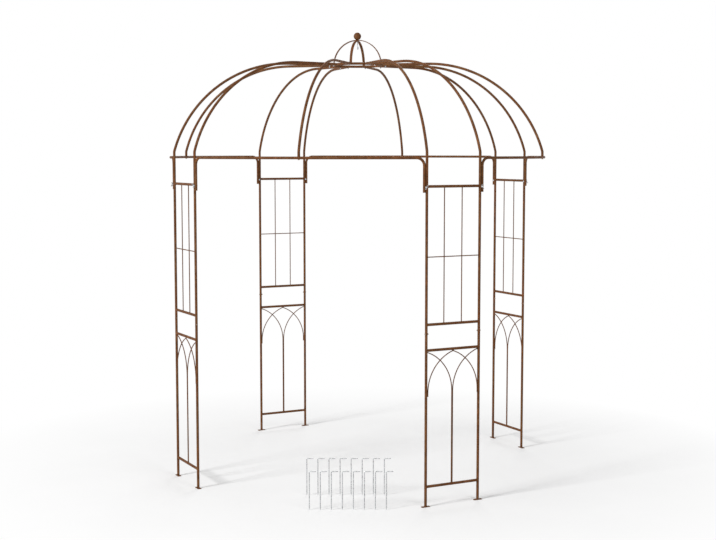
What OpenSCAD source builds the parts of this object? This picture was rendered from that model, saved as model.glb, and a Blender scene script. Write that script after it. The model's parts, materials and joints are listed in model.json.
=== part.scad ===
// Rose pavilion: four welded climbing panels, four arched passages and a domed roof.
// Origin on the ground in the middle of the plan, +Z up, lengths in millimetres.
// The panels stand on the +X, +Y, -X and -Y sides; the passages lie on the diagonals.

/* [Plan] */
// Radius of the circle that the post centres stand on
plan_r = 1200; // [1050:10:1400]
// Width of a side panel between its post centres
panel_w = 355; // [300:5:420]

/* [Heights] */
// Centre of the ring arches above the ground
ring_z = 2006; // [1960:2:2200]
// Centre of a panel's top rail
top_rail_z = 1845; // [1750:5:1880]
// Centre of the thin middle rod of a panel
mid_rod_z = 1445; // [1300:5:1600]
// Centre of the rail under the climbing grid
low_rail_z = 1058; // [1050:2:1150]
// Centre of the rail over the crossing arches
arch_rail_z = 910; // [860:5:940]
// Centre of the bottom rail
bottom_rail_z = 118; // [60:2:200]
// Height where an upper post slips onto the lower one
post_split_z = 985; // [975:1:995]

/* [Tube and rod] */
// Outer diameter of all tubes
tube_d = 16; // [15:0.5:18]
// Wall of all tubes
tube_wall = 1.5; // [1.2:0.1:1.8]
// Diameter of the grid rods and arch rods
rod_d = 6; // [5:0.5:7]
// Number of open strips across the climbing grid
grid_bays = 3; // [2:1:4]
// Radius of the arch rods
arch_rod_r = 245; // [230:5:300]
// Straight end of an arch rod along the post
arch_rod_leg = 24; // [10:2:60]

/* [Post joint] */
// Length of the reduced end of a lower post
joint_spigot = 45; // [35:1:60]
// Height of the joint screw above the post split
joint_screw_up = 20; // [12:1:28]
// Length of the reduced end that a rib slips onto
rib_spigot = 26; // [18:1:28]

/* [Foot] */
// Length of a foot plate along its panel
foot_len = 53; // [50:1:70]
// Width of a foot plate
foot_w = 22; // [18:1:30]
// Thickness of a foot plate
foot_t = 3; // [2:0.5:5]
// Corner radius of a foot plate
foot_corner = 4; // [2:0.5:6]
// Distance between the two peg holes of a foot plate
peg_hole_pitch = 38; // [32:1:40]
// Diameter of a peg hole
peg_hole_d = 8; // [7:0.5:9]

/* [Ring arches] */
// Centre radius of the bend at an arch end
bend_r = 45; // [35:1:60]
// Length of an arch leg below the arch centre
leg_len = 196; // [150:2:240]
// Height of the clamp bolt above the end of the leg
clamp_up = 30; // [20:1:40]

/* [Roof ribs] */
// Straight foot of a rib above the arch centre
rib_stub = 30; // [30:1:50]
// Centre radius of the small bend at the foot
kink_r = 40; // [30:1:60]
// Lean of a rib after the small bend, as a share of the length along it
kink_lean_ratio = 0.28; // [0.2:0.01:0.34]
// Centre radius of the long bend of a rib
rib_r = 764; // [650:1:850]
// How far the mid ribs and the crown stand round from the middle of the passages, in degrees
mid_rib_turn = 1.5; // [0:0.5:3]

/* [Hub and crown] */
// Centre radius of the hub ring
hub_r = 158; // [140:1:180]
// Diameter of the hub ring's bar
hub_bar_d = 16; // [14:0.5:18]
// Length of the hub's round stubs outside the ring
hub_stub = 45; // [36:1:60]
// Distance from the ring's bar to a hub screw
hub_screw_out = 22; // [12:1:28]
// Width of the flat strip of the crown hoops
strip_w = 16; // [12:1:20]
// Thickness of the flat strip
strip_t = 5; // [3:0.5:6]
// Diameter of the finial ball
ball_d = 48; // [36:1:70]
// Diameter of the flat under the ball
ball_flat_d = 14; // [10:1:18]
// Diameter of the hook's wire
hook_d = 5; // [4:0.5:6]
// Centre radius of the hook's loop
hook_r = 9; // [7:0.5:12]
// Straight part of the hook under the hoops
hook_drop = 40; // [14:1:46]
// How far the hook's loop runs round, in degrees
hook_turn = 240; // [180:5:280]

/* [Fasteners] */
// Diameter of the clamp bolts and rib foot bolts
bolt_d = 6; // [5:0.5:6]
// Diameter of the joint screws and hub screws
screw_d = 5; // [4:0.5:5.5]
// Span of a wing nut over both wings
wing_span = 30; // [24:1:36]
// Turn of the wings from level, in degrees
wing_turn = -58; // [-90:1:90]

/* [Ground pegs] */
// Overall height of a peg
peg_len = 226; // [160:2:260]
// Diameter of a peg
peg_d = 6; // [5:0.5:7]
// Reach of the short arm of a peg
peg_arm = 40; // [30:1:60]
// Pegs in a row
peg_count = 8; // [2:1:8]
// Distance between pegs in the back row
peg_pitch = 66; // [58:1:70]
// Distance between pegs in the front row
peg_front_pitch = 63; // [58:1:70]
// Turn of the peg rows about the middle of the plan, in degrees
peg_rows_turn = -27.5; // [-40:0.5:-20]
// Distance of the back row from the middle
peg_back_row = 874; // [850:2:900]
// Distance from the back row to the front row
peg_row_gap = 320; // [100:5:340]
// Reach of the rows beyond the middle on their left
peg_rows_left = 303; // [260:1:320]
// How far the front row stands to the right of the back row
peg_row_shift = 26; // [0:1:40]

/* [Clearances] */
// Gap at a welded cope
weld_gap = 0.1; // [0.05:0.05:0.3]
// Radial gap of a slipped-in end
slip_gap = 0.2; // [0.1:0.05:0.4]
// Gap between pieces that lie against each other
touch_gap = 0.15; // [0.05:0.05:0.3]
// Radial gap of a bolt or screw in its holes
hole_gap = 0.25; // [0.15:0.05:0.5]
// Radial gap between a thread and its nut
thread_gap = 0.1; // [0.05:0.05:0.2]

/* [Hidden] */
$fn = 48;
BAR_FN = 32;
SIDES = ["right", "back", "left", "front"];
CORNERS = ["back_right", "back_left", "front_left", "front_right"];
STEEL = [0.40, 0.28, 0.20];
ZINC = [0.75, 0.76, 0.77];

cut = 1;
// Where two bends of one tube meet, each is cut in the same plane after running a little past it,
// and one reaches into the other by a hair, so that they close into one solid at every size
bend_over_turn = 1;
bend_join = 0.0000001;
tube_r = tube_d / 2;
rod_r = rod_d / 2;
bore_d = tube_d - 2 * tube_wall;
spigot_d = bore_d - 2 * slip_gap;
spigot_bore_d = spigot_d - 2 * tube_wall;

// Plan: a panel stands square to +X, its posts at plus and minus post_turn on the circle
post_turn = asin(panel_w / 2 / plan_r);
panel_x = plan_r * cos(post_turn);
passage_turn = 45;
mid_turn = passage_turn + mid_rib_turn;

// An arch end runs on along its tangent through the bend, so its leg stands a hair outside the circle
pair_pitch = tube_d + touch_gap;
leg_r = sqrt(pow(plan_r, 2) + pow(bend_r, 2));
leg_turn = acos((pow(plan_r, 2) + pow(leg_r, 2) - pow(pair_pitch, 2)) / (2 * plan_r * leg_r));
arch_half = passage_turn - post_turn - leg_turn - atan(bend_r / plan_r);
leg_drop = leg_len - bend_r;
clamp_z = ring_z - leg_len + clamp_up;
post_xy = plan_r * [cos(post_turn), sin(post_turn)];
leg_xy = leg_r * [cos(post_turn + leg_turn), sin(post_turn + leg_turn)];
pair_xy = (post_xy + leg_xy) / 2;
pair_dir = atan2(leg_xy.y - post_xy.y, leg_xy.x - post_xy.x);

// Rods weld in two layers, one each side of the panel's middle plane
layer = (rod_d + weld_gap) / 2;
arch_leg_y = panel_w / 2 - sqrt(pow(tube_r + rod_r + weld_gap, 2) - pow(layer, 2));
arch_sweep = acos(1 - arch_leg_y / arch_rod_r);
arch_spring_z = arch_rail_z - tube_r - rod_r - arch_rod_r * sin(arch_sweep);

// A rib: straight foot, small bend, long bend to level, straight run to the hub
kink_z = ring_z + rib_stub;
kink_dir = [sqrt(1 - pow(kink_lean_ratio, 2)), kink_lean_ratio];
kink_turn = asin(kink_dir.y);
rib_centre = [plan_r - kink_r, kink_z] + (kink_r - rib_r) * kink_dir;
hub_z = rib_centre.y + rib_r;
rib_end_r = hub_r + hub_bar_d / 2 + touch_gap;
hub_stub_end_r = hub_r + hub_bar_d / 2 + hub_stub;
hub_screw_r = hub_r + hub_bar_d / 2 + hub_screw_out;
rib_turns = [for (i = [0:3]) each [90 * i - post_turn, 90 * i + post_turn, 90 * i + mid_turn]];

// Crown: the upper hoop lies on the lower one, the ball on the upper one.
// The lower hoop stands a strip's thickness in from the middle of the ring's bar, the upper one on it.
hoop_lower_r = hub_r - strip_t;
hoop_upper_r = hoop_lower_r + strip_t + touch_gap;
crown_top_z = hub_z + hoop_upper_r + strip_t / 2;
ball_r = ball_d / 2;
ball_z = crown_top_z + touch_gap + sqrt(pow(ball_r, 2) - pow(ball_flat_d / 2, 2));
hook_seat_z = hub_z + hoop_lower_r - strip_t / 2;
hook_hold = 16;

// Proportions of the fasteners
bolt_head_af = bolt_d + 4;
bolt_head_h = bolt_d * 0.65;
screw_head_d = screw_d * 1.8;
screw_head_h = screw_d * 0.6;
screw_nut_af = screw_d * 1.6;
screw_nut_h = screw_d * 0.8;
thread_out = 2.5;
wing_base_d = bolt_d * 2;
wing_hub_h = bolt_d * 1.2;
wing_t = 2.2;
wing_lobe_r = 4.5;
plug_len = 14;
peg_bend_r = peg_d;
peg_tip = 14;

// How far a round base of radius r stands off the middle between an arch leg and its post
function pair_seat(r) =
    sqrt(pow(tube_r, 2) - pow(max(pair_pitch / 2 - r, 0), 2)) + touch_gap;
function hex_d(af) = af / cos(30);

// Places

module on_sides() for (i = [0:3]) rotate([0, 0, 90 * i]) children();
module both_ends() for (m = [0, 1]) mirror([0, m, 0]) children();
module at_post() translate([panel_x, panel_w / 2, 0]) children();
module in_panel() translate([panel_x, 0, 0]) children();
// +X points outwards, +Y from the post to the arch leg
module at_clamp() translate([pair_xy.x, pair_xy.y, clamp_z]) rotate([0, 0, pair_dir - 90]) children();

// Stock shapes

// A bend in the XY plane, from +X turn degrees round, of a round bar or of the tube
module bar_arc(r, d, turn) rotate_extrude(angle = turn, $fn = 96) translate([r, 0]) circle(d = d, $fn = BAR_FN);

module tube_arc(r, turn) rotate_extrude(angle = turn, $fn = r > 10 * bend_r ? 300 : 96) translate([r, 0])
    tube_section();

module tube_section() difference() {
    circle(d = tube_d, $fn = BAR_FN);
    circle(d = bore_d, $fn = BAR_FN);
}

module tube(h) linear_extrude(h) tube_section();

module rounded_plate(x, y, t, corner) {
    linear_extrude(t) union() {
        square([x - 2 * corner, y], center = true);
        square([x, y - 2 * corner], center = true);
        for (sx = [-1, 1], sy = [-1, 1])
            translate([sx * (x / 2 - corner), sy * (y / 2 - corner)]) circle(r = corner);
    }
}

// A tube along Z whose top end is reduced, so that the next tube slips over it
module spigot_tube(from, to, spigot) {
    difference() {
        union() {
            translate([0, 0, from]) cylinder(d = tube_d, h = to - from);
            translate([0, 0, to - cut]) cylinder(d = spigot_d, h = spigot + cut);
        }
        translate([0, 0, from - cut]) cylinder(d = bore_d, h = to - from - tube_wall + cut);
        translate([0, 0, from]) cylinder(d = spigot_bore_d, h = to - from + spigot + cut);
    }
}

module cross_rail(z, d) translate([0, -panel_w / 2, z]) rotate([-90, 0, 0]) cylinder(d = d, h = panel_w);

module rail(z) {
    difference() {
        cross_rail(z, tube_d);
        cross_rail(z, bore_d);
        post_space();
    }
}

// What the rails and rods of a panel are coped to
module post_space() {
    for (s = [-1, 1])
        translate([0, s * panel_w / 2, 0]) cylinder(d = tube_d + 2 * weld_gap, h = ring_z);
}

module rail_space(zs) for (z = zs) cross_rail(z, tube_d + 2 * weld_gap);

// Screw and nut stand on z = 0 with the thread down, the nut hangs from z = 0

module pan_screw(d, len) {
    rise = screw_head_h;
    ball = (pow(screw_head_d / 2, 2) + pow(rise, 2)) / (2 * rise);
    intersection() {
        translate([0, 0, rise - ball]) sphere(r = ball);
        cylinder(d = screw_head_d, h = rise);
    }
    translate([0, 0, -len]) cylinder(d = d, h = len + cut / 2);
}

module hex_bolt(d, len) {
    cylinder(d = hex_d(bolt_head_af), h = bolt_head_h, $fn = 6);
    translate([0, 0, -len]) cylinder(d = d, h = len + cut / 2);
}

module hex_nut(d, af, h) {
    translate([0, 0, -h]) difference() {
        cylinder(d = hex_d(af), h = h, $fn = 6);
        translate([0, 0, -cut]) cylinder(d = d + 2 * thread_gap, h = h + 2 * cut);
    }
}

// Side panel, lower section

module joint_hole() {
    translate([0, 0, post_split_z + joint_screw_up])
        rotate([90, 0, 0]) cylinder(d = screw_d + 2 * hole_gap, h = 2 * tube_d, center = true);
}

module lower_posts() {
    color(STEEL) both_ends() at_post() difference() {
        spigot_tube(foot_t, post_split_z, joint_spigot);
        joint_hole();
    }
}

module foot_plates() {
    color(STEEL) both_ends() at_post() difference() {
        rounded_plate(foot_w, foot_len, foot_t, foot_corner);
        for (s = [-1, 1])
            translate([0, s * peg_hole_pitch / 2, -cut]) cylinder(d = peg_hole_d, h = foot_t + 2 * cut);
    }
}

module lower_rails() color(STEEL) in_panel() {
    rail(arch_rail_z);
    rail(bottom_rail_z);
}

// One arch rod: a straight leg up the line y = leg_y, then a bend towards the side given by s
module arch_rod(leg_y, from_z, s, reach) {
    sweep = acos(1 - reach / arch_rod_r);
    translate([0, leg_y, from_z]) cylinder(d = rod_d, h = arch_spring_z - from_z, $fn = 24);
    translate([0, leg_y, arch_spring_z]) rotate([90, 0, 90]) mirror([s > 0 ? 1 : 0, 0, 0])
        translate([-arch_rod_r, 0, 0])
            rotate_extrude(angle = sweep, $fn = 96) translate([arch_rod_r, 0]) circle(d = rod_d, $fn = 24);
}

// The outer arch rods make one pointed arch; the inner pair rises side by side and fans out
module arch_rods() color(STEEL) in_panel() both_ends() {
    difference() {
        translate([layer, 0, 0]) arch_rod(arch_leg_y, arch_spring_z - arch_rod_leg, -1, arch_leg_y + rod_r);
        translate([-tube_d, -tube_d + weld_gap / 2, arch_spring_z]) cube([2 * tube_d, tube_d, arch_rod_r]);
        rail_space([arch_rail_z]);
    }
    difference() {
        translate([-layer, 0, 0]) arch_rod(layer, bottom_rail_z, 1, panel_w / 2 - layer);
        post_space();
        rail_space([arch_rail_z, bottom_rail_z]);
    }
}

// Side panel, upper section

module upper_posts() {
    color(STEEL) both_ends() difference() {
        at_post() difference() {
            spigot_tube(post_split_z, ring_z, rib_spigot);
            joint_hole();
        }
        clamp_hole();
    }
}

module upper_rails() color(STEEL) in_panel() {
    rail(top_rail_z);
    rail(low_rail_z);
}

module grid_rods() color(STEEL) in_panel() {
    for (k = [1:grid_bays - 1]) difference() {
        translate([-layer, panel_w * (k / grid_bays - 1 / 2), low_rail_z])
            cylinder(d = rod_d, h = top_rail_z - low_rail_z, $fn = 24);
        rail_space([low_rail_z, top_rail_z]);
    }
    difference() {
        translate([layer, 0, 0]) cross_rail(mid_rod_z, rod_d);
        post_space();
    }
}

// Ring arches

// The hole runs between the two tubes and notches both, so the bolt also locks the height
module clamp_hole() at_clamp() rotate([0, 90, 0])
    cylinder(d = bolt_d + 2 * hole_gap, h = 3 * tube_d, center = true);

// The arc starts in the plane of one bend, runs a little past the plane of the other and is cut there,
// and so is each bend where it meets the arc
module arch_path(d, extra) translate([0, 0, ring_z]) {
    difference() {
        rotate([0, 0, -arch_half]) translate([0, -bend_join, 0])
            rotate_extrude(angle = 2 * arch_half + bend_over_turn, $fn = 360)
                translate([plan_r, 0]) circle(d = d, $fn = BAR_FN);
        rotate([0, 0, arch_half]) translate([0, bend_join, -tube_d]) cube([2 * plan_r, plan_r, 2 * tube_d]);
    }
    both_ends() rotate([0, 0, arch_half]) {
        difference() {
            translate([plan_r, 0, -bend_r]) rotate([90, 0, 90]) bar_arc(bend_r, d, 90 + bend_over_turn);
            translate([0, -plan_r, -tube_d]) cube([2 * plan_r, plan_r, 2 * tube_d]);
        }
        translate([plan_r, bend_r, -bend_r - leg_drop - extra]) cylinder(d = d, h = leg_drop + extra);
    }
}

module rib_foot_hole() translate([plan_r, 0, ring_z - tube_d])
    cylinder(d = bolt_d + 2 * hole_gap, h = 2 * tube_d);

// Drawn across +X, between the panel on its right and the next one round
module ring_arch() color(STEEL) difference() {
    arch_path(tube_d, 0);
    arch_path(bore_d, cut);
    both_ends() rotate([0, 0, -passage_turn]) clamp_hole();
    rotate([0, 0, mid_rib_turn]) rib_foot_hole();
}

// Roof ribs

// Drawn out along +X. Both bends run a little past the plane that they share and are cut there.
module rib_path() {
    translate([plan_r - kink_r, 0, kink_z]) rotate([90, 0, 0]) {
        translate([kink_r, 0, 0]) rotate([90, 0, 0]) tube(rib_stub);
        difference() {
            tube_arc(kink_r, kink_turn + bend_over_turn);
            rotate([0, 0, kink_turn]) translate([0, bend_join, -tube_d])
                cube([3 * kink_r, 2 * kink_r, 2 * tube_d]);
        }
        difference() {
            translate((kink_r - rib_r) * kink_dir) {
                rotate([0, 0, 90]) mirror([0, 1, 0]) tube_arc(rib_r, 90 + bend_over_turn - kink_turn);
                translate([0, rib_r, 0]) rotate([0, -90, 0]) tube(rib_centre.x - rib_end_r);
            }
            rotate([0, 0, kink_turn]) translate([0, -3 * kink_r, -tube_d])
                cube([3 * kink_r, 3 * kink_r, 2 * tube_d]);
        }
    }
}

module hub_screw_hole() translate([hub_screw_r, 0, hub_z - tube_d])
    cylinder(d = screw_d + 2 * hole_gap, h = 2 * tube_d);

module post_rib() color(STEEL) difference() {
    rib_path();
    hub_screw_hole();
}

// The foot is coped to the arch that it stands on
module mid_rib() color(STEEL) difference() {
    rib_path();
    hub_screw_hole();
    translate([plan_r, 0, ring_z]) rotate([90, 0, 0])
        cylinder(d = tube_d + 2 * weld_gap, h = 2 * tube_d, center = true);
}

// Hub and crown

module hub_shape(grow) {
    translate([0, 0, hub_z]) rotate_extrude($fn = 96)
        translate([hub_r, 0]) circle(d = hub_bar_d + 2 * grow, $fn = BAR_FN);
    for (turn = rib_turns) rotate([0, 0, turn]) translate([hub_r, 0, hub_z]) rotate([0, 90, 0])
        cylinder(d = spigot_d + 2 * grow, h = hub_stub_end_r - hub_r);
}

module hub_ring() color(STEEL) difference() {
    hub_shape(0);
    for (turn = rib_turns) rotate([0, 0, turn]) hub_screw_hole();
}

module crown_hoop(r, turn) color(STEEL) difference() {
    rotate([0, 0, turn]) translate([0, 0, hub_z]) rotate([90, 0, 0])
        rotate_extrude(angle = 180, $fn = 96) translate([r, 0]) square([strip_t, strip_w], center = true);
    hub_shape(weld_gap);
    translate([0, 0, hub_z]) cylinder(d = hook_d + 2 * hole_gap, h = 2 * r);
}

module finial_ball() color(STEEL) difference() {
    translate([0, 0, ball_z]) sphere(d = ball_d, $fn = 96);
    translate([0, 0, crown_top_z + touch_gap - ball_d]) cylinder(d = ball_d, h = ball_d);
    translate([0, 0, crown_top_z]) cylinder(d = hook_d + 2 * thread_gap, h = hook_hold + 2 * cut);
}

// The hook's thread goes up through both hoops into the ball
module hanging_hook() color(ZINC) rotate([0, 0, passage_turn]) translate([0, 0, hook_seat_z - hook_drop]) {
    cylinder(d = hook_d, h = crown_top_z + hook_hold - hook_seat_z + hook_drop);
    translate([hook_r, 0, 0]) rotate([90, 0, 0]) rotate([0, 0, 180]) bar_arc(hook_r, hook_d, hook_turn);
}

module hook_nut() color(ZINC) translate([0, 0, hook_seat_z - touch_gap])
    hex_nut(hook_d, hook_d * 1.6, hook_d * 0.8);

// Fasteners

module on_clamps() on_sides() both_ends() at_clamp() children();

module clamp_bolts() color(ZINC) on_clamps() {
    seat = pair_seat(hex_d(bolt_head_af) / 2);
    translate([-seat, 0, 0]) rotate([0, -90, 0])
        hex_bolt(bolt_d, seat + pair_seat(wing_base_d / 2) + wing_hub_h + thread_out);
}

module wing() {
    reach = wing_span / 2 - wing_lobe_r;
    rotate([90, 0, 0]) translate([0, 0, -wing_t / 2]) linear_extrude(wing_t) union() {
        translate([reach, wing_hub_h + wing_lobe_r / 2]) circle(r = wing_lobe_r);
        polygon([[bolt_d * 0.7, wing_t / 2], [bolt_d * 0.85, wing_t / 2],
                 [reach + wing_lobe_r * 0.85, wing_hub_h],
                 [reach - wing_lobe_r * 0.5, wing_hub_h + wing_lobe_r * 1.3], [bolt_d * 0.7, wing_hub_h]]);
    }
}

module wing_nuts() color(ZINC) on_clamps() {
    translate([pair_seat(wing_base_d / 2), 0, 0]) rotate([wing_turn, 0, 0]) rotate([90, 0, 90]) difference() {
        union() {
            cylinder(d1 = wing_base_d, d2 = wing_base_d * 0.8, h = wing_hub_h);
            for (m = [0, 1]) mirror([m, 0, 0]) wing();
        }
        translate([0, 0, -cut])
            cylinder(d = bolt_d + 2 * thread_gap, h = wing_hub_h + 2 * wing_lobe_r + 2 * cut);
    }
}

// The screw's axis lies along the panel, its head on the passage side
module on_joints() on_sides() both_ends() at_post()
    translate([0, 0, post_split_z + joint_screw_up]) children();

module joint_screws() color(STEEL) on_joints() translate([0, tube_r + touch_gap, 0]) rotate([-90, 0, 0])
    pan_screw(screw_d, tube_d + 2 * touch_gap + screw_nut_h + thread_out);

module joint_nuts() color(STEEL) on_joints() translate([0, -tube_r - touch_gap, 0]) rotate([-90, 0, 0])
    hex_nut(screw_d, screw_nut_af, screw_nut_h);

module on_passages() on_sides() rotate([0, 0, mid_turn]) translate([plan_r, 0, 0]) children();

module rib_foot_bolts() color(STEEL) on_passages() translate([0, 0, ring_z - tube_r - touch_gap])
    rotate([180, 0, 0]) hex_bolt(bolt_d, tube_d + 2 * touch_gap + plug_len);

module rib_foot_plugs() color(ZINC) on_passages() translate([0, 0, ring_z + tube_r + touch_gap]) difference() {
    cylinder(d = bore_d - 2 * touch_gap, h = plug_len);
    translate([0, 0, -cut]) cylinder(d = bolt_d + 2 * thread_gap, h = plug_len + 2 * cut);
}

module on_stubs() for (turn = rib_turns) rotate([0, 0, turn]) translate([hub_screw_r, 0, hub_z]) children();

module hub_screws() color(ZINC) on_stubs() translate([0, 0, tube_r + touch_gap])
    pan_screw(screw_d, tube_d + 2 * touch_gap + screw_nut_h + thread_out);

module hub_nuts() color(ZINC) on_stubs() translate([0, 0, -tube_r - touch_gap])
    hex_nut(screw_d, screw_nut_af, screw_nut_h);

// Ground pegs: a loose set beside the object, in two rows

module peg() {
    shaft_top = peg_len - peg_d / 2 - peg_bend_r;
    cylinder(d1 = peg_d / 4, d2 = peg_d, h = peg_tip, $fn = 24);
    translate([0, 0, peg_tip]) cylinder(d = peg_d, h = shaft_top - peg_tip, $fn = 24);
    translate([peg_bend_r, 0, shaft_top]) rotate([90, 0, 0]) rotate([0, 0, 90])
        rotate_extrude(angle = 90, $fn = 48) translate([peg_bend_r, 0]) circle(d = peg_d, $fn = 24);
    translate([peg_bend_r, 0, shaft_top + peg_bend_r]) rotate([0, 90, 0])
        cylinder(d = peg_d, h = peg_arm - peg_bend_r, $fn = 24);
}

module ground_pegs() color(ZINC) rotate([0, 0, peg_rows_turn])
    for (k = [0:peg_count - 1]) {
        translate([k * peg_pitch - peg_rows_left, -peg_back_row, 0]) peg();
        translate([k * peg_front_pitch - peg_rows_left + peg_row_shift, -peg_back_row - peg_row_gap, 0]) peg();
    }

for (i = [0:3]) {
    side = SIDES[i];
    corner = CORNERS[i];
    rotate([0, 0, 90 * i]) {
        lower_posts();
        foot_plates();
        lower_rails();
        arch_rods();
        upper_posts();
        upper_rails();
        grid_rods();
        rotate([0, 0, -post_turn]) post_rib();
        rotate([0, 0, post_turn]) post_rib();
        rotate([0, 0, passage_turn]) ring_arch();
        rotate([0, 0, mid_turn]) mid_rib();
    }
}
hub_ring();
crown_hoop(hoop_lower_r, mid_turn);  // crown_hoop_lower
crown_hoop(hoop_upper_r, mid_turn + 90);  // crown_hoop_upper
finial_ball();
hanging_hook();
hook_nut();
clamp_bolts();
wing_nuts();
joint_screws();
joint_nuts();
rib_foot_bolts();
rib_foot_plugs();
hub_screws();
hub_nuts();
ground_pegs();
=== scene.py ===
"""Looks of the rose pavilion: its finishes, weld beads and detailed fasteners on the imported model."""

import json
import math
import random

import bmesh
import bpy
from mathutils import Matrix, Vector


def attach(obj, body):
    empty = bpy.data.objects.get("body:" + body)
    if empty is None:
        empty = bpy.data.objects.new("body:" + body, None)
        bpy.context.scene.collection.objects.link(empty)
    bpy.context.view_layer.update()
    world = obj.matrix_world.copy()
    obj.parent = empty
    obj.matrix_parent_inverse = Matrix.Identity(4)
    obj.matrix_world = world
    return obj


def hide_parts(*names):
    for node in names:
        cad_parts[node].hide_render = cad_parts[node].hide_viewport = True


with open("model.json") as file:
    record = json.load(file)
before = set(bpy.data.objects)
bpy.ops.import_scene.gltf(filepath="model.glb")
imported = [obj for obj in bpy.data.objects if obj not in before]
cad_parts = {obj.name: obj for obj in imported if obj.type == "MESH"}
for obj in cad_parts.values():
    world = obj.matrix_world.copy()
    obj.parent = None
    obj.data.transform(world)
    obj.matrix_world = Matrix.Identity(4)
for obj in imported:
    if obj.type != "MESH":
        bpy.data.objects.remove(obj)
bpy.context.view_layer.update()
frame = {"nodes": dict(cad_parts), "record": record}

# Dimensions of the part, in metres
MM = 0.001
PLAN_R = 1.200
PANEL_W = 0.355
RING_Z = 2.006
TOP_RAIL_Z = 1.845
MID_ROD_Z = 1.445
LOW_RAIL_Z = 1.058
ARCH_RAIL_Z = 0.910
BOTTOM_RAIL_Z = 0.118
TUBE_R = 8.0 * MM
ROD_R = 3.0 * MM
FOOT_T = 3.0 * MM
BEND_R = 45.0 * MM
TOUCH = 0.15 * MM
WELD_GAP = 0.1 * MM

# Rods weld in two layers, one each side of the panel's middle plane
LAYER = ROD_R + WELD_GAP / 2
GRID_Y = PANEL_W / 6
ARCH_ROD_R = 0.245
ARCH_LEG_Y = PANEL_W / 2 - math.sqrt((TUBE_R + ROD_R + WELD_GAP) ** 2 - LAYER ** 2)
ARCH_SWEEP = math.acos(1 - ARCH_LEG_Y / ARCH_ROD_R)
ARCH_SPRING_Z = ARCH_RAIL_Z - TUBE_R - ROD_R - ARCH_ROD_R * math.sin(ARCH_SWEEP)

# A post and the arch leg beside it, as angles round the plan
POST_TURN = math.asin(PANEL_W / 2 / PLAN_R)
PANEL_X = PLAN_R * math.cos(POST_TURN)
LEG_R = math.hypot(PLAN_R, BEND_R)
PAIR_PITCH = 2 * TUBE_R + TOUCH
LEG_TURN = math.acos((PLAN_R ** 2 + LEG_R ** 2 - PAIR_PITCH ** 2) / (2 * PLAN_R * LEG_R))
MID_TURN = math.radians(46.5)

# A roof rib runs straight up, bends in by its lean, and goes on in one large arc to the hub
RIB_STUB = 0.030
KINK_R = 0.040
KINK_LEAN = 0.28
RIB_R = 0.764

# Hub and crown
HUB_R = 0.158
HUB_BAR_R = 8.0 * MM
HUB_Z = RING_Z + RIB_STUB + (KINK_R - RIB_R) * KINK_LEAN + RIB_R
HUB_SCREW_OUT = 22.0 * MM
HUB_SCREW_R = HUB_R + HUB_BAR_R + HUB_SCREW_OUT
STRIP_W = 16.0 * MM
STRIP_T = 5.0 * MM
LOWER_HOOP_R = HUB_R - STRIP_T
UPPER_HOOP_R = HUB_R + TOUCH

# Radii of the weld beads, and the weld along the straight end of an arch rod
RAIL_BEAD_R = 1.15 * MM
ROD_BEAD_R = 0.9 * MM
FOOT_BEAD_R = 1.25 * MM
STRIP_BEAD_R = 0.95 * MM
LEG_WELD_LEN = 16.5 * MM
LEG_WELD_DOWN = 12.75 * MM

# Tack welds, as half their size each way
CROSSING_TACK = (1.6 * MM, 2.4 * MM, 2.4 * MM)
ROD_END_TACK = (2.6 * MM, 1.8 * MM, 1.8 * MM)
POINT_TACK = (1.9 * MM, 3.2 * MM, 1.5 * MM)

# Fasteners
LEG_LEN = 0.196
CLAMP_UP = 0.030
CLAMP_Z = RING_Z - LEG_LEN + CLAMP_UP
JOINT_Z = 1.005
BOLT_R = 3.0 * MM
BOLT_PITCH = 1.0 * MM
BOLT_THREAD = 18.0 * MM
BOLT_HEAD_AF = 10.0 * MM
BOLT_HEAD_H = 3.9 * MM
SCREW_R = 2.5 * MM
SCREW_PITCH = 0.8 * MM
SCREW_THREAD = 12.0 * MM
SCREW_HEAD_D = 9.0 * MM
SCREW_HEAD_H = 3.0 * MM
NUT_AF = 8.0 * MM
NUT_H = 4.0 * MM
NUT_BORE_R = 2.6 * MM
THREAD_OUT = 2.5 * MM
PLUG_LEN = 14.0 * MM
WING_BASE_R = 6.0 * MM
WING_BODY_H = 7.2 * MM
WING_T = 2.4 * MM
WING_TURN = math.radians(-58)

X = Vector((1, 0, 0))
Y = Vector((0, 1, 0))
Z = Vector((0, 0, 1))
FULL_TURN = 2 * math.pi

# Points nearer than this are one, after a spin and after cuts
MERGE = 0.002 * MM
SLIVER = 0.01 * MM


# Camera, as fitted to the photograph

PLAN_TO_CAMERA = 0.48101
TO_CAMERA = Matrix.Rotation(-PLAN_TO_CAMERA, 3, "Z")
CAMERA_AT = TO_CAMERA @ Vector((-0.0003, -8.54397, 2.03841))
CAMERA_DOWN = 0.08965
CAMERA_ASIDE = 0.00047
CAMERA_ROLL = 0.00031
PHOTO_W = 716
FOCAL_IN_PIXELS = 1311.31
SENSOR_W = 36


def make_camera():
    camera = bpy.data.objects.new("camera", bpy.data.cameras.new("camera"))
    bpy.context.collection.objects.link(camera)
    camera.data.sensor_width = SENSOR_W
    camera.data.lens = FOCAL_IN_PIXELS * SENSOR_W / PHOTO_W
    camera.location = CAMERA_AT
    camera.rotation_euler = (math.pi / 2 - CAMERA_DOWN, CAMERA_ROLL, -PLAN_TO_CAMERA - CAMERA_ASIDE)
    bpy.context.scene.camera = camera


# Shader helpers

def set_input(tree, node, key, value):
    """Links a socket to an input, or writes a plain value on it."""
    if isinstance(value, bpy.types.NodeSocket):
        tree.links.new(value, node.inputs[key])
    else:
        node.inputs[key].default_value = value


def new_node(tree, kind, inputs=None, **settings):
    node = tree.nodes.new("ShaderNode" + kind)
    for key, value in settings.items():
        setattr(node, key, value)
    for key, value in (inputs or {}).items():
        set_input(tree, node, key, value)
    return node


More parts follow.
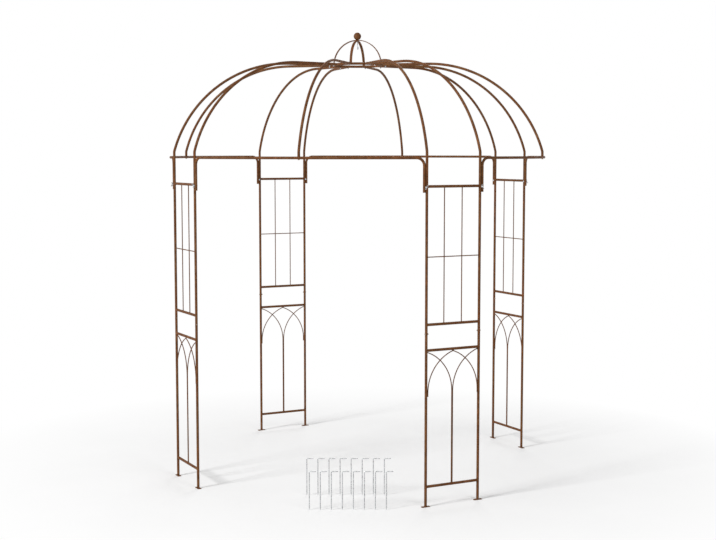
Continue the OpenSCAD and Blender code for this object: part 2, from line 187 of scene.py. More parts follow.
def blend(tree, factor, a, b):
    """Mixes two colours by a mask."""
    node = new_node(tree, "Mix", data_type="RGBA")
    set_input(tree, node, 0, factor)
    set_input(tree, node, 6, a)
    set_input(tree, node, 7, b)
    return node.outputs[2]


def times(tree, value, share):
    return new_node(tree, "Math", {0: value, 1: share}, operation="MULTIPLY").outputs[0]


def larger(tree, a, b):
    return new_node(tree, "Math", {0: a, 1: b}, operation="MAXIMUM").outputs[0]


def remap(tree, value, low, high, to_low=0.0, to_high=1.0):
    ends = {"Value": value, "From Min": low, "From Max": high, "To Min": to_low, "To Max": to_high}
    return new_node(tree, "MapRange", ends).outputs[0]


def colour(r, g, b):
    """A colour written as 0 to 255, as the linear values that the shader takes."""
    linear = []
    for c in (r / 255, g / 255, b / 255):
        linear.append(c / 12.92 if c <= 0.04045 else ((c + 0.055) / 1.055) ** 2.4)
    return (*linear, 1.0)


def new_material(name):
    material = bpy.data.materials.new(name)
    material.use_nodes = True
    material.node_tree.nodes.clear()
    return material, material.node_tree


# Shader groups that the finishes share

def new_group(name, inputs, outputs):
    """An empty shader group with named sockets; inputs are name, kind and usual value."""
    tree = bpy.data.node_groups.new(name, "ShaderNodeTree")
    for label, kind, value in inputs:
        socket = tree.interface.new_socket(label, in_out="INPUT", socket_type="NodeSocket" + kind)
        socket.default_value = value
    for label, kind in outputs:
        tree.interface.new_socket(label, in_out="OUTPUT", socket_type="NodeSocket" + kind)
    return tree, tree.nodes.new("NodeGroupInput").outputs, tree.nodes.new("NodeGroupOutput").inputs


def place_group(tree, group, **values):
    """Places a group in a material with its own values; underscores stand for spaces."""
    node = tree.nodes.new("ShaderNodeGroup")
    node.node_tree = group
    for key, value in values.items():
        set_input(tree, node, key.replace("_", " "), value)
    return node.outputs


def patches_group():
    """A mask of cloudy patches, longer one way where they are stretched."""
    inputs = [("Scale", "Float", 10.0), ("Detail", "Float", 4.0), ("Raggedness", "Float", 0.6),
              ("Starts At", "Float", 0.4), ("Full At", "Float", 0.6), ("Stretch", "Vector", (1, 1, 1))]
    tree, given, out = new_group("patches", inputs, [("Mask", "Float")])
    place = new_node(tree, "TexCoord").outputs["Object"]
    place = new_node(tree, "Mapping", {"Vector": place, "Scale": given["Stretch"]}).outputs[0]
    cloud = new_node(tree, "TexNoise", {"Vector": place, "Scale": given["Scale"], "Detail": given["Detail"],
                                        "Roughness": given["Raggedness"]}).outputs[0]
    tree.links.new(remap(tree, cloud, given["Starts At"], given["Full At"]), out["Mask"])
    return tree


def grain_group():
    """The fine unevenness of a coated surface: orange peel with a finer grain on it."""
    inputs = [("Peel Scale", "Float", 240.0), ("Grain Scale", "Float", 1500.0), ("Strength", "Float", 0.3)]
    tree, given, out = new_group("surface_grain", inputs, [("Normal", "Vector")])
    place = new_node(tree, "TexCoord").outputs["Object"]
    peel = {"Vector": place, "Scale": given["Peel Scale"], "Detail": 3.0}
    peel = new_node(tree, "TexNoise", peel).outputs[0]
    grain = {"Vector": place, "Scale": given["Grain Scale"], "Detail": 2.0}
    grain = new_node(tree, "TexNoise", grain).outputs[0]
    height = new_node(tree, "Math", {0: grain, 1: 0.35, 2: peel}, operation="MULTIPLY_ADD").outputs[0]
    bump = new_node(tree, "Bump", {"Height": height, "Strength": given["Strength"], "Distance": 0.4 * MM})
    tree.links.new(bump.outputs[0], out["Normal"])
    return tree


def edge_wear_group():
    """A broken mask along sharp edges, where a finish rubs away first."""
    inputs = [("Reach", "Float", 1.2 * MM), ("Amount", "Float", 1.0)]
    tree, given, out = new_group("edge_wear", inputs, [("Mask", "Float")])
    rounded = new_node(tree, "Bevel", {"Radius": given["Reach"]}, samples=6).outputs[0]
    flat = new_node(tree, "NewGeometry").outputs["Normal"]
    alike = new_node(tree, "VectorMath", {0: rounded, 1: flat}, operation="DOT_PRODUCT").outputs["Value"]
    edge = remap(tree, alike, 0.97, 0.84)
    place = new_node(tree, "TexCoord").outputs["Object"]
    broken = new_node(tree, "TexNoise", {"Vector": place, "Scale": 300.0, "Detail": 4.0}).outputs[0]
    edge = times(tree, edge, remap(tree, broken, 0.38, 0.6))
    tree.links.new(times(tree, edge, given["Amount"]), out["Mask"])
    return tree


def stained_metal_group():
    """Plated or bare metal: spangle from light to mid, dark stains and fine drawn scratches."""
    inputs = [("Light", "Color", (1, 1, 1, 1)), ("Mid", "Color", (0.5, 0.5, 0.5, 1)),
              ("Dark", "Color", (0, 0, 0, 1)), ("Smooth", "Float", 0.3), ("Rough", "Float", 0.5)]
    tree, given, out = new_group("stained_metal", inputs, [("Color", "Color"), ("Roughness", "Float")])
    place = new_node(tree, "TexCoord").outputs["Object"]
    cells = new_node(tree, "TexVoronoi", {"Vector": place, "Scale": 260.0}).outputs["Color"]
    spangle = new_node(tree, "SeparateColor", {0: cells}).outputs[0]
    stain = place_group(tree, PATCHES, Scale=130.0, Detail=5.0, Starts_At=0.42, Full_At=0.68)["Mask"]
    scratch = place_group(tree, PATCHES, Scale=900.0, Detail=2.0, Starts_At=0.58, Full_At=0.66,
                          Stretch=(1, 1, 0.1))["Mask"]
    base = blend(tree, spangle, given["Mid"], given["Light"])
    base = blend(tree, stain, base, given["Dark"])
    base = blend(tree, times(tree, scratch, 0.35), base, given["Light"])
    tree.links.new(base, out["Color"])
    tree.links.new(remap(tree, stain, 0, 1, given["Smooth"], given["Rough"]), out["Roughness"])
    return tree


PATCHES = patches_group()
GRAIN = grain_group()
EDGE_WEAR = edge_wear_group()
STAINED_METAL = stained_metal_group()


# Finishes

PAINT_BROWN = colour(108, 71, 40)
PAINT_RED = colour(111, 65, 33)
PAINT_DARK = colour(86, 54, 29)
PAINT_RUBBED = colour(142, 105, 70)
PAINT_BLOOM = colour(152, 88, 39)
PAINT_SPECK = colour(40, 25, 14)


def painted_steel():
    """Rust-brown paint: cloudy brown and red-brown, rubbed patches and edges, orange bloom, dark specks."""
    material, tree = new_material("painted_steel")
    cloud = place_group(tree, PATCHES, Scale=3.0, Detail=3.0, Starts_At=0.4, Full_At=0.6)["Mask"]
    mottle = place_group(tree, PATCHES, Scale=55.0, Detail=5.0, Starts_At=0.38, Full_At=0.68)["Mask"]
    rubbed = place_group(tree, PATCHES, Scale=16.0, Detail=4.0, Starts_At=0.5, Full_At=0.72)["Mask"]
    bloom = place_group(tree, PATCHES, Scale=28.0, Detail=5.0, Raggedness=0.65, Starts_At=0.56,
                        Full_At=0.72, Stretch=(1, 1, 0.35))["Mask"]
    speck = place_group(tree, PATCHES, Scale=420.0, Detail=3.0, Starts_At=0.6, Full_At=0.7)["Mask"]
    edge = place_group(tree, EDGE_WEAR, Amount=0.8)["Mask"]
    base = blend(tree, cloud, PAINT_BROWN, PAINT_RED)
    base = blend(tree, mottle, PAINT_DARK, base)
    base = blend(tree, larger(tree, times(tree, rubbed, 0.35), edge), base, PAINT_RUBBED)
    base = blend(tree, times(tree, bloom, 0.35), base, PAINT_BLOOM)
    base = blend(tree, times(tree, speck, 0.7), base, PAINT_SPECK)
    grain = place_group(tree, GRAIN, Strength=0.35)["Normal"]
    rough = remap(tree, mottle, 0, 1, 0.66, 0.5)
    shader = new_node(tree, "BsdfPrincipled", {"Base Color": base, "Roughness": rough, "Normal": grain,
                                               "Specular IOR Level": 0.12})
    new_node(tree, "OutputMaterial", {"Surface": shader.outputs[0]})
    return material


def dull_zinc():
    """Zinc plating that has gone dull: pale spangle, grey stains, brighter edges."""
    material, tree = new_material("dull_zinc")
    light = colour(216, 217, 218)
    metal = place_group(tree, STAINED_METAL, Light=light, Mid=colour(184, 186, 188),
                        Dark=colour(134, 135, 136), Smooth=0.44, Rough=0.64)
    edge = place_group(tree, EDGE_WEAR, Reach=0.5 * MM, Amount=0.6)["Mask"]
    grain = place_group(tree, GRAIN, Peel_Scale=1100.0, Grain_Scale=2600.0, Strength=0.15)["Normal"]
    shader = new_node(tree, "BsdfPrincipled", {"Base Color": blend(tree, edge, metal["Color"], light),
                                               "Roughness": metal["Roughness"], "Normal": grain,
                                               "Metallic": 0.7})
    new_node(tree, "OutputMaterial", {"Surface": shader.outputs[0]})
    return material


def aged_steel():
    """Steel screws gone a little brown: a rust film in patches, the metal showing through."""
    material, tree = new_material("aged_steel")
    metal = place_group(tree, STAINED_METAL, Light=colour(196, 176, 156), Mid=colour(152, 126, 102),
                        Dark=colour(92, 63, 43), Smooth=0.36, Rough=0.58)
    edge = place_group(tree, EDGE_WEAR, Reach=0.5 * MM, Amount=0.7)["Mask"]
    base = blend(tree, edge, metal["Color"], colour(208, 196, 182))
    grain = place_group(tree, GRAIN, Peel_Scale=700.0, Grain_Scale=2200.0, Strength=0.3)["Normal"]
    shader = new_node(tree, "BsdfPrincipled", {"Base Color": base, "Roughness": metal["Roughness"],
                                               "Normal": grain, "Metallic": 0.6})
    new_node(tree, "OutputMaterial", {"Surface": shader.outputs[0]})
    return material


# Stage and light

WORLD_LIGHT = 0.33

# Name, place, the point it faces, size and power; X and Y as the camera sees them
LAMPS = (
    ("key", (-13.8, -11.2, 10.6), (0, 0, 1.3), 4.0, 3150),
    ("fill", (3.5, -6.0, 6.0), (0, 0, 1.2), 3.0, 120),
    ("back", (1.0, 6.0, 5.0), (0, 0, 1.8), 3.0, 150),
)

FLOOR_R = 400.0
FLOOR_FADE_FROM = 1.3
FLOOR_FADE_TO = 2.8


def seen_ray(tree):
    """One for a ray that the camera sends, straight, off a glossy surface or through glass."""
    path = new_node(tree, "LightPath").outputs
    straight_or_glossy = larger(tree, path["Is Camera Ray"], path["Is Glossy Ray"])
    return larger(tree, straight_or_glossy, path["Is Transmission Ray"])


def make_world():
    world = bpy.data.worlds.new("studio")
    bpy.context.scene.world = world
    world.use_nodes = True
    tree = world.node_tree
    tree.nodes.clear()
    light = new_node(tree, "Background", {"Color": (1, 1, 1, 1), "Strength": WORLD_LIGHT})
    white = new_node(tree, "Background", {"Color": (1, 1, 1, 1), "Strength": 1.0})
    mix = new_node(tree, "MixShader", {0: seen_ray(tree), 1: light.outputs[0], 2: white.outputs[0]})
    new_node(tree, "OutputWorld", {"Surface": mix.outputs[0]})


def make_lamp(name, place, target, size, power):
    data = bpy.data.lights.new(name, "AREA")
    data.shape = "SQUARE"
    data.size = size
    data.energy = power
    lamp = bpy.data.objects.new(name, data)
    bpy.context.collection.objects.link(lamp)
    lamp.location = TO_CAMERA @ Vector(place)
    aim = TO_CAMERA @ Vector(target) - lamp.location
    lamp.rotation_euler = aim.to_track_quat("-Z", "Y").to_euler()


def white_floor():
    """Matt white near the feet, melting into the white backdrop further out."""
    material, tree = new_material("white_floor")
    place = new_node(tree, "TexCoord").outputs["Object"]
    cloud = place_group(tree, PATCHES, Scale=1.5, Starts_At=0.3, Full_At=0.7)["Mask"]
    tone = blend(tree, cloud, (0.95, 0.95, 0.95, 1), (0.98, 0.98, 0.98, 1))
    matt = {"Base Color": tone, "Roughness": 0.9, "Specular IOR Level": 0.0}
    matt = new_node(tree, "BsdfPrincipled", matt)
    white = new_node(tree, "Emission", {"Color": (1, 1, 1, 1), "Strength": 1.0})
    reach = new_node(tree, "VectorMath", {0: place}, operation="LENGTH").outputs["Value"]
    far = remap(tree, reach, FLOOR_FADE_FROM, FLOOR_FADE_TO)
    share = new_node(tree, "Math", {0: far, 1: seen_ray(tree)}, operation="MULTIPLY").outputs[0]
    mix = new_node(tree, "MixShader", {0: share, 1: matt.outputs[0], 2: white.outputs[0]})
    new_node(tree, "OutputMaterial", {"Surface": mix.outputs[0]})
    return material


def make_floor():
    bm = bmesh.new()
    bmesh.ops.create_circle(bm, cap_ends=True, segments=96, radius=FLOOR_R)
    add_object("floor", bm, white_floor())


# Mesh helpers

def add_object(name, bm, material):
    mesh = bpy.data.meshes.new(name)
    bm.to_mesh(mesh)
    bm.free()
    mesh.materials.append(material)
    obj = bpy.data.objects.new(name, mesh)
    bpy.context.collection.objects.link(obj)
    return obj


def shade(bm, sharp_angle):
    """Smooth faces, with the edges that turn more than the angle kept crisp."""
    for face in bm.faces:
        face.smooth = True
    for edge in bm.edges:
        if len(edge.link_faces) == 2 and edge.calc_face_angle(0) > math.radians(sharp_angle):
            edge.smooth = False


def add_piece(name, bm, slot, sharp_angle=180, stands_for=None):
    """A visible piece of the pavilion; it takes the place of the node that it stands for."""
    bmesh.ops.recalc_face_normals(bm, faces=bm.faces)
    shade(bm, sharp_angle)
    obj = add_object(name, bm, FINISHES[slot])
    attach(obj, "root")
    if stands_for:
        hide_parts(stands_for)


def put(bm, part, place):
    """Adds a copy of a finished part to a piece, in its place."""
    mesh = bpy.data.meshes.new("part")
    part.to_mesh(mesh)
    mesh.transform(place)
    bm.from_mesh(mesh)
    bpy.data.meshes.remove(mesh)


def turned(profile, steps=48, closed=False):
    """A part turned about Z from points of radius and height; a closed profile makes a ring."""
    bm = bmesh.new()
    verts = [bm.verts.new((r, 0, z)) for r, z in profile]
    edges = [bm.edges.new(pair) for pair in zip(verts, verts[1:])]
    if closed:
        edges.append(bm.edges.new((verts[-1], verts[0])))
    bmesh.ops.spin(bm, geom=verts + edges, cent=(0, 0, 0), axis=Z, angle=FULL_TURN, steps=steps,
                   use_merge=True)
    bmesh.ops.remove_doubles(bm, verts=bm.verts, dist=MERGE)
    return bm


def everything(bm):
    return bm.verts[:] + bm.edges[:] + bm.faces[:]


def moved_verts(result):
    return [item for item in result["geom"] if isinstance(item, bmesh.types.BMVert)]


def region(bm, faces):
    """Faces with their edges and corners, so that an extrusion leaves none of them inside."""
    edges = [edge for edge in bm.edges if any(face in faces for face in edge.link_faces)]
    verts = [vert for vert in bm.verts if any(face in faces for face in vert.link_faces)]
    return faces + edges + verts


def seat(at, across, along, out):
    """A part's place: its X, Y and Z run across, along and out."""
    return Matrix.Translation(at) @ Matrix((across, along, out)).transposed().to_4x4()


def z_along(direction):
    return direction.to_track_quat("Z", "Y").to_matrix().to_4x4()


def turn_z(angle):
    return Matrix.Rotation(angle, 4, "Z")


def shift(x, y, z):
    return Matrix.Translation((x, y, z))


# Weld beads

def round_line(radius):
    """The middle line of a bead round a bar."""
    return lambda turn: Vector((radius * math.cos(turn), radius * math.sin(turn), 0))


def strip_line(thick, wide):
    """The middle line of a bead round a flat strip, with rounded corners."""
    def line(turn):
        x = max(-1, min(1, 1.4 * math.cos(turn)))
        y = max(-1, min(1, 1.15 * math.sin(turn)))
        return Vector((x * thick / 2, y * wide / 2, 0))
    return line


def swells(count, rng):
    """How thick each section of a bead is: the ripples of a hand-held torch, a little uneven."""
    start = rng.uniform(0, FULL_TURN)
    return [1 + 0.16 * math.sin(1.9 * i + start) + 0.1 * rng.uniform(-1, 1) for i in range(count)]


def weld_ring(line, bead_r, rng, on_tube_r=None, aside=0.0, steps=40):
    """A closed bead along a line round Z; on a tube that runs along Y it is laid onto the tube's round."""
    bm = bmesh.new()
    spin_r = 4 * bead_r
    upright = shift(spin_r, 0, 0) @ Matrix.Rotation(math.pi / 2, 4, "X")
    bmesh.ops.create_circle(bm, segments=8, radius=bead_r, matrix=upright)
    bmesh.ops.spin(bm, geom=everything(bm), cent=(0, 0, 0), axis=Z, angle=FULL_TURN, steps=steps,
                   use_merge=True)
    spun = round_line(spin_r)
    thickness = swells(steps, rng)
    for vert in bm.verts:
        turn = math.atan2(vert.co.y, vert.co.x)
        swell = thickness[round(turn / FULL_TURN * steps) % steps]
        middle = line(turn) + X * aside
        if on_tube_r:
            middle.z = math.sqrt(max(on_tube_r ** 2 - middle.x ** 2, 0))
        vert.co = middle + (vert.co - spun(turn)) * swell
    return bm


def weld_run(length, bead_r, rng, sections=12):
    """A straight bead along Z with thin ends."""
    bm = bmesh.new()
    bmesh.ops.create_cone(bm, cap_ends=True, segments=8, radius1=bead_r, radius2=bead_r, depth=length)
    long_edges = [e for e in bm.edges if abs(e.verts[0].co.z - e.verts[1].co.z) > length / 2]
    bmesh.ops.subdivide_edges(bm, edges=long_edges, cuts=sections - 2)
    thickness = swells(sections, rng)
    thickness[0] = thickness[-1] = 0.45
    for vert in bm.verts:
        swell = thickness[round((vert.co.z / length + 0.5) * (sections - 1))]
        vert.co.x *= swell
        vert.co.y *= swell
    return bm


def tack(size, rng):
    """A tack weld: a flattened drop with an uneven skin."""
    bm = bmesh.new()
    bmesh.ops.create_icosphere(bm, subdivisions=2, radius=1.0)
    for vert in bm.verts:
        vert.co *= 1 + 0.2 * rng.uniform(-1, 1)
    bmesh.ops.smooth_vert(bm, verts=bm.verts, factor=0.3, use_axis_x=True, use_axis_y=True, use_axis_z=True)
    bmesh.ops.scale(bm, vec=size, verts=bm.verts)
    return bm


def rail_welds(bm, side, rng):
    """Rails and the thin middle rod, where they meet the post on one side."""
    for z in (TOP_RAIL_Z, LOW_RAIL_Z, ARCH_RAIL_Z, BOTTOM_RAIL_Z):
        at = (0, side * PANEL_W / 2, z)
        put(bm, weld_ring(round_line(0.985 * TUBE_R), RAIL_BEAD_R, rng, TUBE_R), seat(at, X, Z, Y * -side))
    at = (0, side * PANEL_W / 2, MID_ROD_Z)
    put(bm, weld_ring(round_line(ROD_R), ROD_BEAD_R, rng, TUBE_R, LAYER, 20), seat(at, X, Z, Y * -side))


def rod_welds(bm, side, rng):
    """Grid rods and inner arch rods, where they meet the rails and cross each other."""
    for z, up in ((LOW_RAIL_Z, 1), (TOP_RAIL_Z, -1)):
        at = (0, side * GRID_Y, z)
        put(bm, weld_ring(round_line(ROD_R), ROD_BEAD_R, rng, TUBE_R, -LAYER, 20), seat(at, X, Y, Z * up))
    at = (0, side * LAYER, BOTTOM_RAIL_Z)
    put(bm, weld_ring(round_line(ROD_R), ROD_BEAD_R, rng, TUBE_R, -LAYER, 20), seat(at, X, Y, Z))
    put(bm, tack(CROSSING_TACK, rng), shift(0, side * GRID_Y, MID_ROD_Z))
    turn = math.acos(1 - (ARCH_LEG_Y - LAYER) / 2 / ARCH_ROD_R)
    y = LAYER + ARCH_ROD_R * (1 - math.cos(turn))
    z = ARCH_SPRING_Z + ARCH_ROD_R * math.sin(turn)
    put(bm, tack(CROSSING_TACK, rng), shift(0, side * y, z))


def arch_end_welds(bm, side, rng):
    """The ends of the arch rods on the post, and the point of the arch under its rail."""
    post_face = PANEL_W / 2 - TUBE_R
    turn = math.acos(1 - (post_face - LAYER) / ARCH_ROD_R)
    z = ARCH_SPRING_Z + ARCH_ROD_R * math.sin(turn)
    for dz in (-ROD_R, ROD_R):
        put(bm, tack(ROD_END_TACK, rng), shift(-LAYER, side * (post_face - 0.6 * MM), z + dz))
    # The straight end of the other rod is welded along both its sides
    for x, y in ((-1.6 * MM, post_face + 0.1 * MM), (4.6 * MM, post_face + 0.9 * MM)):
        put(bm, weld_run(LEG_WELD_LEN, ROD_BEAD_R, rng), shift(x, side * y, ARCH_SPRING_Z - LEG_WELD_DOWN))
    put(bm, tack(POINT_TACK, rng), shift(LAYER, side * 4 * MM, ARCH_RAIL_Z - TUBE_R - 0.2 * MM))


def foot_welds(bm, side, rng):
    ring = weld_ring(round_line(TUBE_R + 0.4 * MM), FOOT_BEAD_R, rng)
    put(bm, ring, shift(0, side * PANEL_W / 2, FOOT_T + 0.3 * MM))


def make_panel_welds():
    for i, name in enumerate(("right", "back", "left", "front")):
        rng = random.Random(100 + i)
        bm = bmesh.new()
        for side in (-1, 1):
            rail_welds(bm, side, rng)
            rod_welds(bm, side, rng)
            arch_end_welds(bm, side, rng)
            foot_welds(bm, side, rng)
        bmesh.ops.transform(bm, matrix=turn_z(i * math.pi / 2) @ shift(PANEL_X, 0, 0), verts=bm.verts)
        add_piece("weld_beads_" + name, bm, "painted_steel")


def make_crown_welds():
    rng = random.Random(7)
    bm = bmesh.new()
    line = strip_line(STRIP_T + 0.4 * MM, STRIP_W + 0.4 * MM)
    for hoop_r, turn in ((LOWER_HOOP_R, MID_TURN), (UPPER_HOOP_R, MID_TURN + math.pi / 2)):
        for end in (turn, turn + math.pi):
            ring = weld_ring(line, STRIP_BEAD_R, rng, HUB_BAR_R, hoop_r - HUB_R)
            put(bm, ring, turn_z(end) @ shift(HUB_R, 0, HUB_Z + 0.2 * MM))
    add_piece("weld_beads_crown", bm, "painted_steel")


# Fasteners: heads stand on z = 0 with the shank down, nuts stand on z = 0

def hex_rim(across_flats):
    """The radii of a hexagon's flat face and of its blank, and how far the corners turn down."""
    face_r = 0.475 * across_flats
    blank_r = 0.59 * across_flats
    return face_r, blank_r, (blank_r - face_r) * 0.58


def cut_hexagon(bm, across_flats):
    """Cuts a turned blank to a hexagon and closes each flat."""
    for i in range(6):
        out = turn_z(i * math.pi / 3).to_3x3() @ X
        cut = bmesh.ops.bisect_plane(bm, geom=everything(bm), plane_co=out * across_flats / 2, plane_no=out,
                                     clear_outer=True)
        rim = [item for item in cut["geom_cut"] if isinstance(item, bmesh.types.BMEdge)]
        bmesh.ops.contextual_create(bm, geom=rim)


def hex_head(across_flats, height):
    """A hexagon head, its top corners turned down."""
    face_r, blank_r, drop = hex_rim(across_flats)
    bm = turned([(0, 0), (blank_r, 0), (blank_r, height - drop), (face_r, height), (0, height)])
    cut_hexagon(bm, across_flats)
    return bm


def hex_nut(across_flats, height, bore_r):
    """A hexagon nut with both faces' corners turned down and a chamfered bore."""
    face_r, blank_r, drop = hex_rim(across_flats)
    lead = 0.3 * MM
    bm = turned([(bore_r, lead), (bore_r + lead, 0), (face_r, 0), (blank_r, drop), (blank_r, height - drop),
                 (face_r, height), (bore_r + lead, height), (bore_r, height - lead)], closed=True)
    cut_hexagon(bm, across_flats)
    return bm


def pan_head(width, height):
    """A domed head; a cross is cut into its top and pushed in."""
    profile = [(0.0, 1.0), (0.1, 0.99), (0.2, 0.95), (0.3, 0.87), (0.38, 0.74), (0.45, 0.54), (0.49, 0.3),
               (0.5, 0.1), (0.49, 0.0), (0.0, 0.0)]
    bm = turned([(r * width, z * height) for r, z in profile])
    reach = 0.3 * width
    half = 0.075 * width
    for axis in (X, Y):
        for place in (-reach, -half, half, reach):
            bmesh.ops.bisect_plane(bm, geom=everything(bm), plane_co=axis * place, plane_no=axis)
    bmesh.ops.remove_doubles(bm, verts=bm.verts, dist=SLIVER)
    bmesh.ops.dissolve_degenerate(bm, dist=SLIVER, edges=bm.edges)
    cross = []
    for face in bm.faces:
        middle = face.calc_center_median()
        far, near = max(abs(middle.x), abs(middle.y)), min(abs(middle.x), abs(middle.y))
        if middle.z > 0.5 * height and far < reach and near < half:
            cross.append(face)
    pushed = bmesh.ops.extrude_face_region(bm, geom=region(bm, cross))
    pushed = moved_verts(pushed)
    bmesh.ops.scale(bm, vec=(0.8, 0.8, 0), verts=pushed)
    bmesh.ops.translate(bm, vec=Z * 0.4 * height, verts=pushed)
    return bm


def shank(radius, length, pitch, threaded):
    """A plain shank down from z = 0, and a thread wound round its lower end."""
    plain_end = -length + threaded - pitch / 2
    bm = turned([(0, 0.2 * MM), (radius, 0.2 * MM), (radius, plain_end), (0, plain_end)], 32)
    put(bm, wound_thread(radius, pitch, threaded), shift(0, 0, -length))
    return bm


def wound_thread(radius, pitch, length):
    """A thread up from z = 0: one turn's profile wound up the shank, cut level and closed at both ends."""
    steps = 24
    turns = math.ceil(length / pitch) + 2
    profile = [(0.86, 0.0), (1.0, 0.38), (1.0, 0.52), (0.86, 0.9), (0.86, 1.0)]
    bm = bmesh.new()
    verts = [bm.verts.new((r * radius, 0, (z - 1) * pitch)) for r, z in profile]
    edges = [bm.edges.new(pair) for pair in zip(verts, verts[1:])]
    bmesh.ops.spin(bm, geom=verts + edges, cent=(0, 0, 0), axis=Z, dvec=Z * pitch / steps,
                   angle=FULL_TURN * turns, steps=steps * turns)
    bmesh.ops.remove_doubles(bm, verts=bm.verts, dist=MERGE)
    bmesh.ops.bisect_plane(bm, geom=everything(bm), plane_co=(0, 0, 0), plane_no=Z, clear_inner=True)
    bmesh.ops.bisect_plane(bm, geom=everything(bm), plane_co=Z * length, plane_no=Z, clear_outer=True)
    bmesh.ops.remove_doubles(bm, verts=bm.verts, dist=SLIVER)
    bmesh.ops.dissolve_degenerate(bm, dist=SLIVER, edges=bm.edges)
    ends = bmesh.ops.holes_fill(bm, edges=[e for e in bm.edges if e.is_boundary], sides=0)["faces"]
    tip = [face for face in ends if face.calc_center_median().z < length / 2]
    chamfer = bmesh.ops.extrude_face_region(bm, geom=region(bm, tip))
    chamfer = moved_verts(chamfer)
    bmesh.ops.translate(bm, vec=Z * -0.12 * radius, verts=chamfer)
    bmesh.ops.scale(bm, vec=(0.82, 0.82, 1), verts=chamfer)
    return bm


def wing():
    """One wing of a wing nut: an outline with rounded corners, given its thickness and rounded rims."""
    outline = [(3.6, 0.9), (6.4, 1.3), (11.6, 4.2), (15.0, 9.0), (13.4, 13.6), (9.2, 13.4), (7.4, 8.6),
               (5.4, 6.9), (3.6, 6.9)]
    bm = bmesh.new()
    face = bm.faces.new([bm.verts.new((x * MM, -WING_T / 2, z * MM)) for x, z in outline])
    outer = [v for v in face.verts if v.co.x > 4 * MM]
    bmesh.ops.bevel(bm, geom=outer, affect="VERTICES", offset=1.9 * MM, offset_type="OFFSET", segments=5,
                    profile=0.5, material=-1)
    front = bmesh.ops.extrude_face_region(bm, geom=bm.faces[:])
    bmesh.ops.translate(bm, vec=Y * WING_T, verts=moved_verts(front))
    rims = [e for e in bm.edges if abs(e.verts[0].co.y - e.verts[1].co.y) < WING_T / 2]
    bmesh.ops.bevel(bm, geom=rims, affect="EDGES", offset=0.8 * MM, offset_type="OFFSET", segments=3,
                    profile=0.5, material=-1, clamp_overlap=True)
    return bm


def wing_nut():
    """A wing nut, base down: a turned body with a chamfered bore, and a wing on each side."""
    profile = [(3.1, 0.3), (3.4, 0.0), (5.6, 0.0), (6.0, 0.5), (5.9, 2.2), (5.2, 4.5), (4.9, 6.4),
               (4.4, 7.2), (3.4, 7.2), (3.1, 6.9)]
    bm = turned([(r * MM, z * MM) for r, z in profile], closed=True)
    put(bm, wing(), Matrix())
    put(bm, wing(), turn_z(math.pi))
    return bm


# Places of the fasteners

def pair_seat(base_r):
    """How far a round base stands off the middle between an arch leg and its post."""
    return math.sqrt(TUBE_R ** 2 - max(PAIR_PITCH / 2 - base_r, 0) ** 2) + TOUCH


def clamp_places():
    """Between each arch leg and its post: X points outwards, Y from the post to the leg."""
    post = turn_z(POST_TURN) @ Vector((PLAN_R, 0, 0))
    leg = turn_z(POST_TURN + LEG_TURN) @ Vector((LEG_R, 0, 0))
    across = math.atan2(leg.y - post.y, leg.x - post.x)
    place = Matrix.Translation((post + leg) / 2 + Z * CLAMP_Z) @ turn_z(across - math.pi / 2)
    for i in range(4):
        yield turn_z(i * math.pi / 2) @ place
        yield turn_z(i * math.pi / 2) @ Matrix.Diagonal((1, -1, 1, 1)) @ place


def joint_places(out_of_panel):
    """On the post joints, Z away from the panel's middle for the heads, towards it for the nuts."""
    for i in range(4):
        for side in (-1, 1):
            post = turn_z(i * math.pi / 2) @ shift(PANEL_X, side * PANEL_W / 2, JOINT_Z)
            direction = Y * side * out_of_panel
            yield post @ Matrix.Translation(direction * (TUBE_R + TOUCH)) @ z_along(direction)


def hub_places(up):
    """On the rib ends, over the stubs of the hub ring."""
    for i in range(4):
        for turn in (-POST_TURN, POST_TURN, MID_TURN):
            stub = turn_z(i * math.pi / 2 + turn) @ shift(HUB_SCREW_R, 0, HUB_Z + up * (TUBE_R + TOUCH))
            yield stub @ z_along(Z * up)


def rib_foot_places():
    """Under the ring arches, where the middle ribs stand."""
    for i in range(4):
        yield turn_z(i * math.pi / 2 + MID_TURN) @ shift(PLAN_R, 0, RING_Z - TUBE_R - TOUCH) @ z_along(-Z)


def repeated(part, places):
    bm = bmesh.new()
    for place in places:
        put(bm, part, place)
    part.free()
    return bm


# Fasteners

def make_clamp_bolts():
    inner = pair_seat(BOLT_HEAD_AF / 2 / math.cos(math.pi / 6))
    outer = pair_seat(WING_BASE_R) + WING_BODY_H + THREAD_OUT
    bolt = hex_head(BOLT_HEAD_AF, BOLT_HEAD_H)
    put(bolt, shank(BOLT_R, inner + outer, BOLT_PITCH, BOLT_THREAD), Matrix())
    places = [place @ shift(-inner, 0, 0) @ z_along(-X) for place in clamp_places()]
    add_piece("clamp_bolts_detailed", repeated(bolt, places), "zinc", 30, "clamp_bolts")


def make_wing_nuts():
    outwards = Matrix.Rotation(WING_TURN, 4, "X") @ z_along(X)
    places = [place @ shift(pair_seat(WING_BASE_R), 0, 0) @ outwards for place in clamp_places()]
    add_piece("wing_nuts_detailed", repeated(wing_nut(), places), "zinc", 50, "wing_nuts")


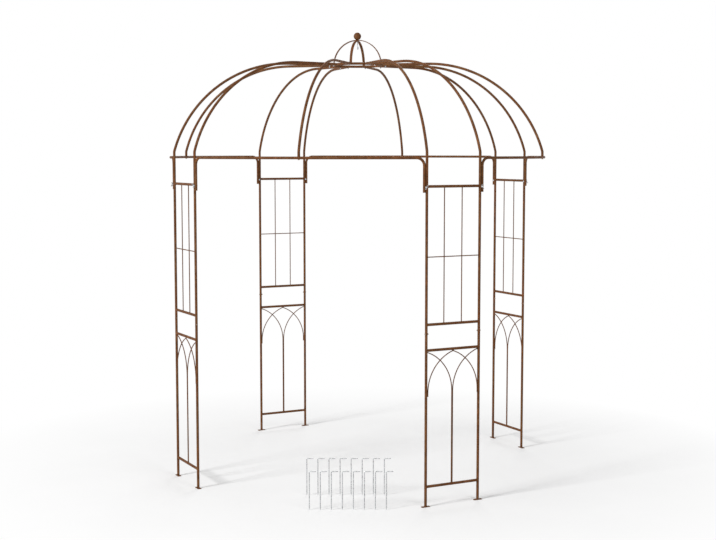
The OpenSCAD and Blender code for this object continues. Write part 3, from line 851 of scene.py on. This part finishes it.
def pan_screw():
    screw = pan_head(SCREW_HEAD_D, SCREW_HEAD_H)
    length = 2 * (TUBE_R + TOUCH) + NUT_H + THREAD_OUT
    put(screw, shank(SCREW_R, length, SCREW_PITCH, SCREW_THREAD), Matrix())
    return screw


def make_joint_screws():
    screws = repeated(pan_screw(), joint_places(1))
    add_piece("joint_screws_detailed", screws, "aged_screws", 35, "joint_screws")


def make_joint_nuts():
    nuts = repeated(hex_nut(NUT_AF, NUT_H, NUT_BORE_R), joint_places(-1))
    add_piece("joint_nuts_detailed", nuts, "aged_screws", 30, "joint_nuts")


def make_rib_foot_bolts():
    bolt = hex_head(BOLT_HEAD_AF, BOLT_HEAD_H)
    length = 2 * (TUBE_R + TOUCH) + PLUG_LEN
    put(bolt, shank(BOLT_R, length, BOLT_PITCH, BOLT_THREAD), Matrix())
    bolts = repeated(bolt, rib_foot_places())
    add_piece("rib_foot_bolts_detailed", bolts, "aged_screws", 30, "rib_foot_bolts")


def make_hub_screws():
    add_piece("hub_screws_detailed", repeated(pan_screw(), hub_places(1)), "zinc", 35, "hub_screws")


def make_hub_nuts():
    nuts = repeated(hex_nut(NUT_AF, NUT_H, NUT_BORE_R), hub_places(-1))
    add_piece("hub_nuts_detailed", nuts, "zinc", 30, "hub_nuts")


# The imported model's own pieces

def dress_nodes():
    slots = {part["node"]: part["material_slot"] for part in frame["record"]["subparts"]}
    for name, obj in frame["nodes"].items():
        finish = FINISHES[slots[name]]
        if not obj.material_slots:
            obj.data.materials.append(finish)
        for material_slot in obj.material_slots:
            material_slot.material = finish


make_camera()
make_world()
for lamp in LAMPS:
    make_lamp(*lamp)
bpy.context.scene.view_settings.view_transform = "Standard"
make_floor()

FINISHES = {"painted_steel": painted_steel(), "zinc": dull_zinc(), "aged_screws": aged_steel()}
dress_nodes()
make_panel_welds()
make_crown_welds()
make_clamp_bolts()
make_wing_nuts()
make_joint_screws()
make_joint_nuts()
make_rib_foot_bolts()
make_hub_screws()
make_hub_nuts()
